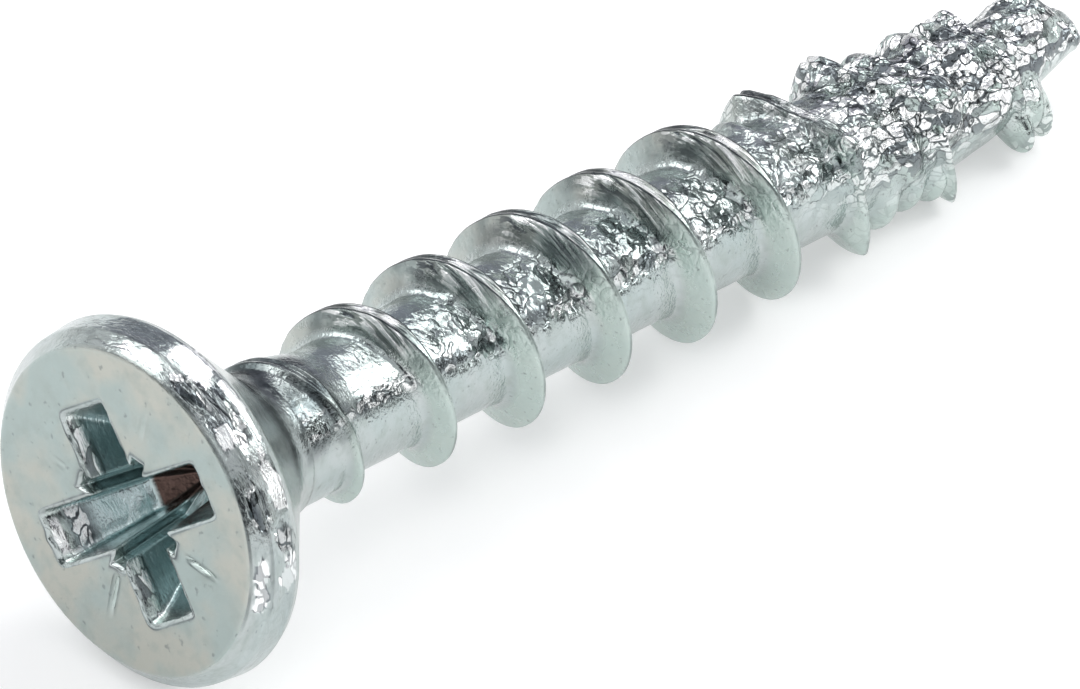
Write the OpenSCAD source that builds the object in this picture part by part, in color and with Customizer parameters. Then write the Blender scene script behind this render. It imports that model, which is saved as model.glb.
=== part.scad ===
// Multi-purpose screw: countersunk head with a cross recess, short plain neck,
// coarse right-hand thread whose last turns are notched, and a gimlet point.
// One piece of steel, lying on its side as it comes to rest: the back edge of
// the head's rim and one crest towards the point are on the surface.
// The screw's own axis is Z, with the face of the head at 0 and the point up.

/* [Head] */
// Largest diameter of the head
head_d = 7.3; // [6.6:0.1:9]
// Diameter of the flat face
face_d = 6.64; // [6:0.02:6.8]
// Depth of the bevel from the face out to the rim
bevel_h = 0.56; // [0.3:0.02:0.8]
// Height of the plain rim under the bevel
rim_h = 0.44; // [0.2:0.02:0.7]
// Angle of the countersink, from side to side
sink_angle = 90; // [80:1:100]
// Radius of the blend from the countersink into the neck
blend_r = 0.9; // [0.4:0.1:1.2]

/* [Recess] */
// Size of the cross from wing end to wing end, at the face
cross_d = 4.65; // [4:0.05:5.2]
// Width of a wing
wing_w = 1.28; // [1:0.02:1.6]
// Draft of a wing's side walls, from the axis
wing_draft = 7; // [3:1:8]
// Depth at which the sloping wing ends stop
wing_depth = 1.8; // [1.4:0.1:2]
// Depth of the middle of the recess
recess_depth = 2.3; // [2.1:0.1:2.5]
// Slope of a wing end, from the axis
end_slope = 30; // [24:1:34]
// Slope of the end of a diagonal slot, from the axis
rib_slope = 14; // [8:1:16]
// Size of the small diagonal cross, at the face
rib_d = 2.9; // [2.6:0.1:3.2]
// Width of a small diagonal slot
rib_w = 0.45; // [0.3:0.05:0.6]
// Turn of the recess about the axis
recess_turn = 5.5; // [0:0.5:90]
// Outer diameter of the four tick marks between the wings
tick_d = 5; // [4:0.1:5.4]
// Width of a tick mark
tick_w = 0.12; // [0.08:0.02:0.2]
// Depth of a tick mark
tick_h = 0.07; // [0.04:0.01:0.12]

/* [Shank] */
// Length from the face to the point
screw_l = 25.6; // [20:0.2:32]
// Diameter of the plain neck
neck_d = 2.92; // [2.7:0.02:3.6]
// Length of the plain neck past the blend
neck_l = 0.9; // [0.7:0.1:2]
// Diameter of the core under the thread
core_d = 2.6; // [2.16:0.02:2.86]
// Length of the tapered end
taper_l = 5.4; // [4:0.1:7]
// Radius of the rounded tip
tip_r = 0.22; // [0.15:0.01:0.35]

/* [Thread] */
// Outer diameter of the thread
thread_d = 3.82; // [3.4:0.02:4.7]
// Distance from one turn to the next
pitch = 2.28; // [1.6:0.01:2.6]
// Angle of each flank of the thread, from square to the axis
flank_angle = 22; // [15:1:30]
// Width of the flat along the crest
crest_w = 0.08; // [0.04:0.02:0.16]
// How far the thread reaches back along the plain neck
thread_back = 0.75; // [0.3:0.05:0.9]
// Turn of the thread's beginning about the axis
thread_turn = 340; // [0:5:360]
// Turns over which the thread grows to its full height
fade_turns = 2.2; // [1:0.1:3]
// Length of the notched stretch, up to the point
notched_l = 8.8; // [5:0.1:12]
// Teeth in one notched turn
tooth_count = 4; // [3:1:6]
// Share of the thread's height that a notch leaves
notch_keep = 0.35; // [0.25:0.05:1]
// Sharpness of the teeth, from straight to hollow sides
tooth_hollow = 1.4; // [1:0.1:2]
// Diameter of the short second thread between the notched turns
second_d = 3.04; // [2.9:0.02:3.3]
// Where the second thread begins, from the first notch
second_in = 2; // [1:0.1:3]
// Length of the short second thread
second_l = 2.6; // [1:0.1:3]

/* [Rest] */
// Turn of the screw about its own axis as it lies
lie_turn = 134; // [0:0.5:360]

/* [Hidden] */
// Rings of the swept thread in one turn
steps = 36;
// How far a cut starts above the face, and how deep the thread's feet are sunk in the core
cut_over = 0.5;
sunk = 0.16;
// Bare length of core between the end of the thread and the point
bare_tip = 1.1;
// Length over which the neck steps down to the core
step_l = 0.6;
// How far the growing crest starts under the neck's surface
crest_under = 0.04;
// Length before the point at which the crest is down to the core
crest_stop = 0.6;
// Bends of the growing crest, of the crest along the taper and of the tapered core
grow_bend = 1.7;
fall_bend = 0.45;
taper_bend = 1.25;
// Smallest radius of the thread's feet, inside the thin end of the core
foot_min = 0.06;
// Rounded edges of the face and of the rim
face_round = 0.06;
rim_round = 0.06;
// Gap between a diagonal slot and its tick mark, and how much shallower the slot's ends are
rib_gap = 0.1;
head_r = head_d / 2;
face_r = face_d / 2;
neck_r = neck_d / 2;
core_r = core_d / 2;
thread_r = thread_d / 2;
rim_end = bevel_h + rim_h;
rim_back = rim_end - rim_round;
face_flat = face_r - face_round;
sink_half = sink_angle / 2;
cone_end = rim_end + (head_r - neck_r) / tan(sink_half);
blend_back = blend_r * tan(sink_half / 2);
neck_end = cone_end + blend_back + neck_l;
taper_start = screw_l - taper_l;
thread_start = neck_end - thread_back;
ring_count = round((screw_l - bare_tip - thread_start) / pitch * steps);
notch_start = screw_l - notched_l;
second_start = notch_start + second_in;
second_count = round(second_l / pitch * steps);

// Share from 0 to 1, eased at its end
function ease_out(f) = 1 - pow(1 - min(max(f, 0), 1), grow_bend);

// Radius of the core at a distance from the face, along the tapered end
function taper_r(z) =
    let (f = min(max((z - taper_start) / taper_l, 0), 1))
    tip_r + (core_r - tip_r) * (1 - pow(f, taper_bend));

// Radius of the blank at a distance from the face, past the head
function blank_r(z) =
    z < neck_end ? neck_r
    : z < taper_start ? max(core_r, neck_r - (neck_r - core_r) * (z - neck_end) / step_l)
    : taper_r(z);

// Height of a notched crest, as a share of the whole: 1 at a tooth, notch_keep between two
function tooth(z, angle) =
    let (f = angle * tooth_count / 360)
    let (wave = abs(2 * (f - floor(f)) - 1))
    z < notch_start ? 1 : notch_keep + (1 - notch_keep) * pow(wave, tooth_hollow);

// Radius of the main crest
function crest_r(z, angle) =
    let (grow = ease_out((z - thread_start) / pitch / fade_turns))
    let (full = neck_r - crest_under + (thread_r - neck_r + crest_under) * grow)
    let (left = min(max((screw_l - z) / (taper_l - crest_stop), 0), 1))
    let (outer = blank_r(z) + (full - blank_r(z)) * pow(left, fall_bend))
    blank_r(z) + (outer - blank_r(z)) * tooth(z, angle);

// Radius of the crest of the short second thread, low at both of its ends
function second_crest_r(z) =
    let (f = (z - second_start) / second_l)
    blank_r(z) - crest_under
    + (second_d / 2 + crest_under - core_r) * sin(180 * min(max(f, 0), 1));

// Section of the thread at one angle: two feet sunk in the core, two sides of the crest
function section_points(z, angle, r) =
    let (foot_r = max(blank_r(z) - sunk, foot_min))
    let (half = crest_w / 2 + (r - foot_r) * tan(flank_angle))
    [for (p = [[foot_r, -half], [r, -crest_w / 2], [r, crest_w / 2], [foot_r, half]])
        [p[0] * cos(angle), p[0] * sin(angle), z + p[1]]];

// Skin of a swept thread: the section's sides along the rings, and both ends closed
function sweep_faces(rings) = concat(
    [[3, 2, 1, 0]],
    [for (i = [0 : rings - 2], k = [0 : 3])
        let (a = i * 4 + k, b = i * 4 + (k + 1) % 4)
        [a, b, b + 4, a + 4]],
    [[for (k = [0 : 3]) (rings - 1) * 4 + k]]);

function main_z(i) = thread_start + pitch * i / steps;
function main_angle(i) = thread_turn + 360 * i / steps;

// The lying screw turns about its rim's back edge until its lowest crest touches
function droop(i) =
    (head_r - crest_r(main_z(i), main_angle(i)) * cos(main_angle(i) + lie_turn))
    / (main_z(i) + crest_w / 2 - rim_back);
lie_tilt = atan(min([for (i = [0 : ring_count]) droop(i)]));
lie_height = rim_back * sin(lie_tilt) + head_r * cos(lie_tilt);
lie_middle = ((screw_l - tip_r) * cos(lie_tilt) + tip_r - face_flat * sin(lie_tilt)) / 2;

// Turned blank: head, neck, core and tapered end
module blank() {
    blend = [for (f = [1 : -0.125 : 0])
        [neck_r + blend_r * (1 - cos(f * sink_half)),
            cone_end + blend_back - blend_r * sin(f * sink_half)]];
    taper = [for (f = [0 : 0.125 : 0.875])
        [taper_r(taper_start + f * (taper_l - tip_r)), taper_start + f * (taper_l - tip_r)]];
    tip = [for (a = [0 : 15 : 90]) [tip_r * cos(a), screw_l - tip_r + tip_r * sin(a)]];
    rotate_extrude($fn = 96)
        polygon(concat(
            [[0, 0], [face_flat, 0], [face_r, face_round],
                [head_r - rim_round, bevel_h - rim_round], [head_r, bevel_h + rim_round],
                [head_r, rim_back], [head_r - rim_round, rim_end + rim_round]],
            blend,
            [[neck_r, neck_end], [core_r, neck_end + step_l]],
            taper,
            tip));
}

// Main thread, notched along its last turns
module thread() {
    polyhedron(
        points = [for (i = [0 : ring_count - 1])
            each section_points(main_z(i), main_angle(i), crest_r(main_z(i), main_angle(i)))],
        faces = sweep_faces(ring_count),
        convexity = 10);
}

// Short second thread, half a turn round from the main one
module second_thread() {
    first = thread_turn + 180 + 360 * (second_start - thread_start) / pitch;
    polyhedron(
        points = [for (i = [0 : second_count - 1])
            let (z = second_start + pitch * i / steps)
            each section_points(z, first + 360 * i / steps, second_crest_r(z))],
        faces = sweep_faces(second_count),
        convexity = 6);
}

// One blade of a cross: its ends slope in to its depth, its bottom runs to the middle,
// and its side walls draw in with the draft
module blade(length, width, slope, depth, middle, draft) {
    top = length / 2 + cut_over * tan(slope);
    low = length / 2 - depth * tan(slope);
    wide = width / 2 + cut_over * tan(draft);
    narrow = width / 2 - middle * tan(draft);
    intersection() {
        rotate([90, 0, 0])
            linear_extrude(height = 2 * wide, center = true)
                polygon([[-top, -cut_over], [top, -cut_over], [low, depth], [0, middle], [-low, depth]]);
        rotate([90, 0, 90])
            linear_extrude(height = 2 * top, center = true)
                polygon([[-wide, -cut_over], [wide, -cut_over], [narrow, middle], [-narrow, middle]]);
    }
}

// Cross recess: four wings, four small diagonal slots and the tick marks
module recess() {
    rotate([0, 0, recess_turn]) {
        for (a = [0, 90]) {
            rotate([0, 0, a])
                blade(cross_d, wing_w, end_slope, wing_depth, recess_depth, wing_draft);
            rotate([0, 0, a + 45])
                blade(rib_d, rib_w, rib_slope, wing_depth - rib_gap, wing_depth, 0);
        }
        for (a = [45 : 90 : 315])
            rotate([0, 0, a])
                translate([rib_d / 2 + rib_gap, -tick_w / 2, -cut_over])
                    cube([(tick_d - rib_d) / 2 - rib_gap, tick_w, cut_over + tick_h]);
    }
}

module lying() {
    translate([-lie_middle, 0, lie_height])
        rotate([0, 90 + lie_tilt, 0])
            rotate([0, 0, lie_turn])
                children();
}

module screw() {
    color([0.72, 0.75, 0.74])
        lying()
            difference() {
                union() {
                    blank();
                    thread();
                    second_thread();
                }
                recess();
            }
}

screw();
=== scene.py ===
"""Looks of the multi-purpose screw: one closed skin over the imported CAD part.

The screw is built in its own frame in millimetres: Z along the axis, the face of the
head at 0, the point at SCREW_L, X up in the photograph and Y towards the camera.
Angles round the axis are in degrees and run from X to Y. Then the screw is laid down
as part.scad lays it, and scaled to metres.
"""

import math

import bpy
import numpy as np
from mathutils import Matrix, Vector


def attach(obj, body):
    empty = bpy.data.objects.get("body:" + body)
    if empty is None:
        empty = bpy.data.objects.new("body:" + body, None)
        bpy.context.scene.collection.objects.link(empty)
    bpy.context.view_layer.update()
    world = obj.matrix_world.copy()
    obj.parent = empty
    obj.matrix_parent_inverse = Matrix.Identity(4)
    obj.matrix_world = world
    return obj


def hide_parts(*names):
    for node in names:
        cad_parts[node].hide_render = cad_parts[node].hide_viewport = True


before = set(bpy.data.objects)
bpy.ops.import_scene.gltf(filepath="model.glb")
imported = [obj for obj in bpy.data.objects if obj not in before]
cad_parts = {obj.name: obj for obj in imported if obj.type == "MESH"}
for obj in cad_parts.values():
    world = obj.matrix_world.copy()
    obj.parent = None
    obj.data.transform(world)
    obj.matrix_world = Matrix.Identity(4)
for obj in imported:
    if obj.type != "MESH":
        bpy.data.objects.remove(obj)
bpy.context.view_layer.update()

MM = 0.001
DIAGONAL = math.sqrt(0.5)

# Sizes of the CAD part, in millimetres and degrees
HEAD_R, RIM_END, NECK_R, BLEND_R, SCREW_L = 3.65, 1.0, 1.46, 0.9, 25.6
WING_DEPTH, RECESS_DEPTH, WING_DRAFT, END_SLOPE, RECESS_TURN = 1.8, 2.3, 7.0, 30.0, 5.5
# Height of the thread's crest at turn 0, and distance from one turn to the next
HELIX_START, PITCH = 1.535, 2.28
# How the screw lies: turn about its axis, tilt of the axis, height of the face's middle, and distance
# from there to the middle of the box
LIE_TURN, LIE_TILT, LIE_HEIGHT, LIE_MIDDLE = 134.0, 6.09598, 3.72918, 12.5551
# Where the cone under the head ends, and how far the blend into the neck reaches along and across
CONE_END = RIM_END + HEAD_R - NECK_R
BLEND_BACK = BLEND_R * math.tan(math.radians(22.5))
BLEND_DROP = BLEND_BACK * DIAGONAL


# Numbers

def smooth(low, high, x):
    """0 below low, 1 above high, eased in between."""
    f = np.clip((x - low) / (high - low), 0.0, 1.0)
    return f * f * (3.0 - 2.0 * f)


def lifted(low, share):
    """A share from 0 to 1, lifted to run from low to 1."""
    return low + (1.0 - low) * share


def soft_max(a, b, width):
    return 0.5 * (a + b + np.sqrt((a - b) ** 2 + width * width))


def soft_min(a, b, width):
    return -soft_max(-a, -b, width)


def near_to(x, middle, full, gone):
    """1 within a distance of a middle value, falling to 0 at a wider one."""
    return smooth(gone, full, np.abs(x - middle))


def angle_off(angle, middle):
    """Signed angle from a direction round the axis."""
    return (angle - middle + 180.0) % 360.0 - 180.0


def side_of(angle, middle, full, gone):
    """1 within an angle of a direction round the axis, falling to 0 at a wider one."""
    return near_to(angle_off(angle, middle), 0.0, full, gone)


def polar(angle, radius):
    """Points in a plane at angles in degrees."""
    a = np.radians(angle)
    return np.stack([radius * np.cos(a), radius * np.sin(a)], axis=-1)


def eased(ring, times):
    """A closed ring of values, each drawn towards its neighbours a few times over."""
    for _ in range(times):
        ring = 0.25 * np.roll(ring, 1, axis=0) + 0.5 * ring + 0.25 * np.roll(ring, -1, axis=0)
    return ring


# Large odd numbers that scramble a cell's place and a seed into one number
CELL_KEYS, SEED_KEY, SCRAMBLE = (73856093, 19349663, 83492791), 40503, 0x45D9F3B


def lattice(cells, seed):
    """One repeatable number from 0 to 1 for each whole-numbered cell."""
    n = cells[..., 0] * CELL_KEYS[0] ^ cells[..., 1] * CELL_KEYS[1] ^ cells[..., 2] * CELL_KEYS[2]
    n = (n ^ seed * SEED_KEY) & 0xFFFFFFFF
    for _ in range(2):
        n = ((n ^ (n >> 16)) * SCRAMBLE) & 0xFFFFFFFF
    return (n ^ (n >> 16)) / 2.0**32


def noise(points, size, seed):
    """Smooth noise from -1 to 1, with bumps of about this size in mm."""
    q = points / size
    base = np.floor(q).astype(np.int64)
    f = q - base
    f = f * f * (3.0 - 2.0 * f)
    total = np.zeros(len(points))
    for corner in np.ndindex(2, 2, 2):
        share = np.prod(np.where(corner, f, 1.0 - f), axis=-1)
        total += share * lattice(base + np.array(corner), seed)
    return 2.0 * total - 1.0


# Directions across which crumpled foil folds, and how far the folds waver
FOLDS = ((0.62, 0.33, 0.71), (-0.35, 0.86, 0.37), (0.81, -0.47, 0.35), (-0.28, -0.42, 0.86))
FOLD_WAVER = 0.8


def crumple(points, size, seed):
    """Height of crumpled foil from -1 to 1: wavering folds in four directions, a size in mm apart."""
    height = np.zeros(len(points))
    for k, across in enumerate(FOLDS):
        at = points @ np.array(across) / size + FOLD_WAVER * noise(points, 1.6 * size, seed + 7 * k)
        height += np.abs(2.0 * (at - np.floor(at)) - 1.0) * 2.0 - 1.0
    return height / len(FOLDS)


# The mesh under construction

class Skin:
    """Vertices in the screw's own frame with their surface marks, and faces."""

    # How crumpled, matt, brown and greenish the plating is, how pale it is, partly as a painted sheen, how
    # dark with painted shade, how ripped, with painted glints and solid painted highlights, the distance
    # past the blunt crest in mm, and how clear the crest's painted shaded line, its painted highlight bars
    # and the strokes beside it, painted dark and bright, are
    MARKS = ("crinkle", "matte", "stain", "teal", "pale", "edge", "glint",
             "brink", "shaded_outline", "highlight_bar", "stroke")

    def __init__(self):
        self.points, self.marks, self.faces = [], [], []
        self.count = 0

    def add(self, points, **marks):
        """Adds points and returns their numbers."""
        n = len(points)
        values = np.zeros((n, len(self.MARKS)))
        for k, name in enumerate(self.MARKS):
            values[:, k] = marks.get(name, 0.0)
        self.points.append(points)
        self.marks.append(values)
        self.count += n
        return np.arange(self.count - n, self.count)

    def bridge(self, a, b):
        """Quads between two closed rings with as many points each."""
        a2, b2 = np.roll(a, -1), np.roll(b, -1)
        self.faces.extend(zip(a.tolist(), a2.tolist(), b2.tolist(), b.tolist()))

    def zip_rings(self, a, b, angle_a, angle_b):
        """Triangles between two closed rings that differ in their number of points."""
        ahead_a, ahead_b = (np.append(angle[1:], angle[0] + 360.0) for angle in (angle_a, angle_b))
        i = j = 0
        while i < len(a) or j < len(b):
            next_a = ahead_a[i] if i < len(a) else math.inf
            next_b = ahead_b[j] if j < len(b) else math.inf
            here_a, here_b = int(a[i % len(a)]), int(b[j % len(b)])
            if next_a <= next_b:
                i += 1
                self.faces.append((here_a, int(a[i % len(a)]), here_b))
            else:
                j += 1
                self.faces.append((here_a, int(b[j % len(b)]), here_b))

    def fan(self, ring, centre):
        """Triangles between a closed ring and a point."""
        ahead = np.roll(ring, -1)
        self.faces.extend((p, q, int(centre)) for p, q in zip(ring.tolist(), ahead.tolist()))


skin = Skin()


# Recess

# Columns along each stretch of an eighth of the recess: wing end, wing side, way to the slot, slot end
EIGHTH = (7, 15, 6, 8)
HEAD_COLUMNS = 8 * sum(EIGHTH)
# Angle of an eighth's 45 degrees that the wing's end and side take up
WING_SPAN = 34.0
# The wings that lie along X and along Y: distance of their ends from the middle, and half-widths
WING_ENDS, WING_HALVES = (2.15, 2.37), (0.59, 0.54)
# Diagonal slots: distance of their ends from the middle, half-width, slope of the ends, share of a
# growth that the half-width takes, and least reach past the corner between two wings
SLOT_R, SLOT_HALF, SLOT_SLOPE, SLOT_GROWTH, SLOT_REACH = 1.24, 0.15, 10.0, 0.7, 0.04
# How far the recess and the face sit off the axis, along X and Y
RECESS_OFF, FACE_OFF = np.array([-0.03, 0.16]), np.array([0.03, 0.08])
# Radius of the rounded lip
LIP = 0.07
# Worn edge along the walls that face the camera: width, depth, hollowness, and how much it wavers
CHIP, CHIP_DEPTH, CHIP_HOLLOW, CHIP_WAVER = 0.1, 0.28, 1.4, 0.45
# Rings of the floor as shares of the way to the walls, of the walls by depth, and of the lip by angle
FLOOR_RINGS = (0.12, 0.28, 0.45, 0.6, 0.72, 0.82, 0.92)
WALL_RINGS = np.concatenate([np.linspace(WING_DEPTH, 0.4, 11), np.linspace(0.34, LIP, 6)])
LIP_RINGS = (68, 45, 22, 0)
# Depths on the walls of the ripped spots, painted with shade and glints, and of a painted shade line:
# middle, full within, gone beyond
SPOT_DEPTHS, SHADE_LINE_DEPTHS = (0.42, 0.2, 0.32), (CHIP_DEPTH + 0.04, 0.02, 0.06)


def eighths(values):
    """All eight parts of a row of angles that runs from a wing's middle to a slot's middle."""
    quarter = np.concatenate([values, [45.0], 90.0 - values[:0:-1]])
    return np.concatenate([quarter + turn for turn in (0, 90, 180, 270)])


# Directions of the head's columns
HEAD_ANGLES = RECESS_TURN + eighths(np.concatenate([
    np.linspace(0.0, WING_SPAN, EIGHTH[0] + EIGHTH[1], endpoint=False),
    np.linspace(WING_SPAN, 45.0, EIGHTH[2] + EIGHTH[3], endpoint=False)]))


def rotated(plan, turn):
    a = math.radians(turn)
    return plan @ np.array([[math.cos(a), math.sin(a)], [-math.sin(a), math.cos(a)]])


def at_depth(plan, z):
    return np.column_stack([plan, np.broadcast_to(z, len(plan))])


def lean(slope, depth):
    """How far a wall with this slope from the axis draws in by a depth."""
    return depth * math.tan(math.radians(slope))


def half_wing(end, half, depth, grow):
    """One eighth of the recess's plan, from the middle of a wing's end to the middle of a slot's end."""
    half += grow - lean(WING_DRAFT, depth)
    end += grow - lean(END_SLOPE, depth)
    slot_half = SLOT_HALF + SLOT_GROWTH * grow
    slot_end = SLOT_R + grow - lean(SLOT_SLOPE, depth)
    slot_end = max(slot_end, half * math.sqrt(2.0) + slot_half + SLOT_REACH)
    corners = [(end, 0.0), (end, half), (half + slot_half / DIAGONAL, half),
               (DIAGONAL * (slot_end + slot_half), DIAGONAL * (slot_end - slot_half)),
               (DIAGONAL * slot_end, DIAGONAL * slot_end)]
    stretches = [np.linspace(start, stop, n, endpoint=False)
                 for start, stop, n in zip(corners[:-1], corners[1:], EIGHTH)]
    return np.concatenate(stretches + [[corners[-1]]])


def recess_outline(depth, grow=0.0):
    """Plan of the recess at a depth: one point for each column, grown outwards by a little."""
    first, second = (half_wing(end, half, depth, grow) for end, half in zip(WING_ENDS, WING_HALVES))
    quarter = np.concatenate([first[:-1], second[:0:-1, ::-1]])
    other = np.concatenate([second[:-1], first[:0:-1, ::-1]])
    plan = np.concatenate([rotated(part, turn) for part, turn in
                           ((quarter, 0), (other, 90), (quarter, 180), (other, 270))])
    return rotated(eased(plan, 2), RECESS_TURN) + RECESS_OFF


def facing_camera(plan):
    """1 on the columns of the walls that face the camera, on the far side of each opening."""
    along = np.roll(plan, -1, axis=0) - np.roll(plan, 1, axis=0)
    return eased(np.clip(along[:, 0] / np.linalg.norm(along, axis=1), 0.0, 1.0) ** 2, 3)


def chipped(plan, depth, facing):
    """The plan with its worn edge, which is widest at the face."""
    wear = CHIP * facing * max(0.0, 1.0 - depth / CHIP_DEPTH) ** CHIP_HOLLOW
    wear *= 1.0 + CHIP_WAVER * noise(at_depth(plan, depth), 0.22, 25)
    return plan - np.column_stack([np.zeros(len(plan)), wear])


def wing_end_share():
    """1 on the columns of the wings' ends, 0 towards the slots."""
    quarter = HEAD_COLUMNS // 4
    column = np.arange(HEAD_COLUMNS) % quarter
    return 1.0 - np.minimum(column, quarter - column) / (quarter / 2)


def stained(points):
    """1 on the brown part of the recess's floor, from the wing away from the camera to the middle."""
    x, y = points[:, 0] - RECESS_OFF[0], points[:, 1] - RECESS_OFF[1]
    side = np.abs(x - 0.1 + 0.02 * (y + 1.0)) - 0.42 + 0.14 * (y + 1.0)
    return smooth(0.04, -0.04, side) * smooth(-1.36, -1.28, y) * smooth(0.8, 0.6, y)


def floor_rings():
    low = recess_outline(WING_DEPTH) - RECESS_OFF
    for f in FLOOR_RINGS:
        points = at_depth(low * f + RECESS_OFF, RECESS_DEPTH - (RECESS_DEPTH - WING_DEPTH) * f)
        points[:, 2] += 0.03 * crumple(points, 0.7, 24)
        yield skin.add(points, stain=stained(points), crinkle=0.2, matte=0.4, teal=0.6)


def wall_rings(facing):
    """Rings up the walls: crumpled at the wings' ends, with ripped spots painted with shade and glints, a
    painted highlight near the top, a painted shade line and a pale worn edge.
    """
    ends = smooth(0.72, 0.92, wing_end_share())
    for depth in WALL_RINGS:
        plan = chipped(recess_outline(depth), depth, facing)
        points = at_depth(plan, depth)
        outward = (plan - RECESS_OFF) / np.linalg.norm(plan - RECESS_OFF, axis=1)[:, None]
        rough = 0.02 * noise(points, 0.5, 21) + 0.05 * ends * crumple(points, 0.55, 22)
        points[:, :2] -= outward * rough[:, None] * smooth(0.0, 0.3, depth)
        worn = facing * smooth(0.33, 0.25, depth)
        spot = facing * ends * near_to(depth, *SPOT_DEPTHS)
        # Painted shade: a dark line under the worn edge and dark blotches on the ripped spots
        shade = np.maximum(0.7 * facing * near_to(depth, *SHADE_LINE_DEPTHS),
                           1.2 * spot * smooth(-0.1, 0.1, noise(points, 0.3, 63)))
        # A painted highlight near the top of the wings' ends that face the camera
        highlight_strip = 1.6 * facing * ends * smooth(0.24, 0.2, depth)
        yield skin.add(points, crinkle=0.04 + 0.2 * worn, matte=0.15 * (1 - worn), pale=worn, edge=shade,
                       teal=smooth(0.1, 0.5, depth) * (1 - worn),
                       glint=np.maximum(highlight_strip, 0.9 * np.maximum(spot, worn)))


def lip_rings(facing):
    for a in np.radians(LIP_RINGS):
        depth = LIP * (1 - math.cos(a))
        plan = chipped(recess_outline(depth, LIP * (1 - math.sin(a))), depth, facing)
        points = at_depth(plan, depth)
        points[:, 2] += 0.02 * noise(points, 0.15, 23) * (a > 0)
        # The lip's outer ring is painted dark, as shade round the opening
        yield skin.add(points, crinkle=0.3, edge=0.9 * (a == 0))


# Head

# Radius of the face with and without its rounded edge, and ridge between the bevel and the rim
EDGE_R, FLAT_R, RIDGE_R, RIDGE_Z = 3.29, 3.23, 3.575, 0.38
FACE_STEPS = 25
# Tick marks: direction, inner and outer distance from the recess's middle, depth
TICKS = ((315, 1.72, 2.15, 0.03), (225, 1.5, 2.5, 0.08), (135, 1.62, 2.5, 0.08), (45, 1.8, 2.5, 0.015))
TICK_HALF, TICK_DEEPEST = 0.045, 0.08
# Banks beside a tick mark: distance from its edge, half-width, height as a share of the tick's depth
BANK_AWAY, BANK_HALF, BANK_SHARE = 0.04, 0.05, 0.3
# Down the outside to the blend: radius, height, rings to the next row, and their crinkle, matte, edge;
# the edge is painted shade along the face's edge and the ridge
OUTSIDE = ((FLAT_R, 0.0, 2, 0.1, 0.8, 0.0),
           (EDGE_R - 0.012, 0.022, 2, 0.2, 0.3, 0.7),
           (EDGE_R + 0.03, 0.075, 8, 1.0, 0.0, 0.0),
           (RIDGE_R - 0.015, RIDGE_Z - 0.03, 3, 0.5, 0.1, 0.45),
           (RIDGE_R + 0.01, RIDGE_Z + 0.03, 9, 1.0, 0.0, 0.0),
           (HEAD_R - 0.016, RIM_END - 0.1, 5, 0.5, 0.1, 0.0),
           (HEAD_R - 0.08, RIM_END + 0.05, 14, 0.12, 0.3, 0.0),
           (NECK_R + BLEND_DROP, CONE_END - BLEND_DROP, 0, 0.0, 0.0, 0.0))
# Rings of the blend, and crinkle, matte and edge on the blend and at its end
BLEND_RINGS, BLEND_MARKS, NECK_MARKS = 9, (0.2, 0.2, 0.0), (0.25, 0.1, 0.0)
# Painted highlight spots, and ripped spots also painted with shade, round the bevel and the rim: angle,
# height, half-angle, half-height
HIGHLIGHT_SPOTS = ((57, 0.72, 10, 0.33), (77, 0.88, 13, 0.13), (102, 0.76, 10, 0.22), (131, 0.72, 9, 0.2),
                (83, 0.27, 5, 0.14), (132, 0.2, 12, 0.13), (46, 0.2, 12, 0.12))
TORN_SHADE_SPOTS = ((75, 0.42, 14, 0.42), (108, 0.3, 10, 0.22), (118, 0.7, 6, 0.25), (67, 0.16, 9, 0.08))
# Sides of the head: direction, full within, gone beyond. Where the painted highlights are softer and
# flecked, faint streaks, and the painted shadow under the head, which falls on the neck too
SOFT_HIGHLIGHT_SIDE, STREAKED_SIDE, SHADOW_SIDE = (131.0, 14.0, 20.0), (30.0, 14.0, 24.0), (60.0, 45.0, 70.0)


def face_relief(plan):
    """How far the face sinks, and how strong the groove and the banks of a tick mark are there."""
    points = at_depth(plan, 0.0)
    away = plan - RECESS_OFF
    sunk = 0.006 * noise(points, 1.3, 11) + 0.003 * noise(points, 0.4, 12)
    cut, rim = np.zeros(len(plan)), np.zeros(len(plan))
    for angle, inner, outer, depth in TICKS:
        a = math.radians(angle + RECESS_TURN)
        along = away[:, 0] * math.cos(a) + away[:, 1] * math.sin(a)
        aside = np.abs(away[:, 1] * math.cos(a) - away[:, 0] * math.sin(a))
        inside = smooth(inner - 0.08, inner + 0.05, along) * (1.0 - smooth(outer - 0.5, outer, along))
        groove = smooth(TICK_HALF + 0.05, TICK_HALF - 0.03, aside)
        bank = smooth(BANK_HALF, 0.0, np.abs(aside - TICK_HALF - BANK_AWAY))
        sunk = sunk + depth * inside * (groove - BANK_SHARE * bank)
        cut = np.maximum(cut, inside * groove * depth / TICK_DEEPEST)
        rim = np.maximum(rim, inside * bank * depth / TICK_DEEPEST)
    return sunk * smooth(EDGE_R, EDGE_R - 0.12, np.hypot(plan[:, 0], plan[:, 1])), cut, rim


def face_rings(facing):
    lip_plan = chipped(recess_outline(0.0, LIP), 0.0, facing)
    edge = polar(HEAD_ANGLES, FLAT_R) + FACE_OFF
    for f in np.linspace(0.0, 1.0, FACE_STEPS + 1)[1:-1]:
        plan = lip_plan * (1 - f) + edge * f
        sunk, cut, rim = face_relief(plan)
        # Painted shade in a ring round the recess and on the banks of the tick marks, and a pale painted
        # highlight in their grooves
        yield skin.add(at_depth(plan, sunk), matte=1.0 - 0.9 * cut, pale=cut,
                       edge=np.maximum(0.4 * smooth(0.06, 0.0, f), 0.8 * rim * (1 - cut)))


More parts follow.
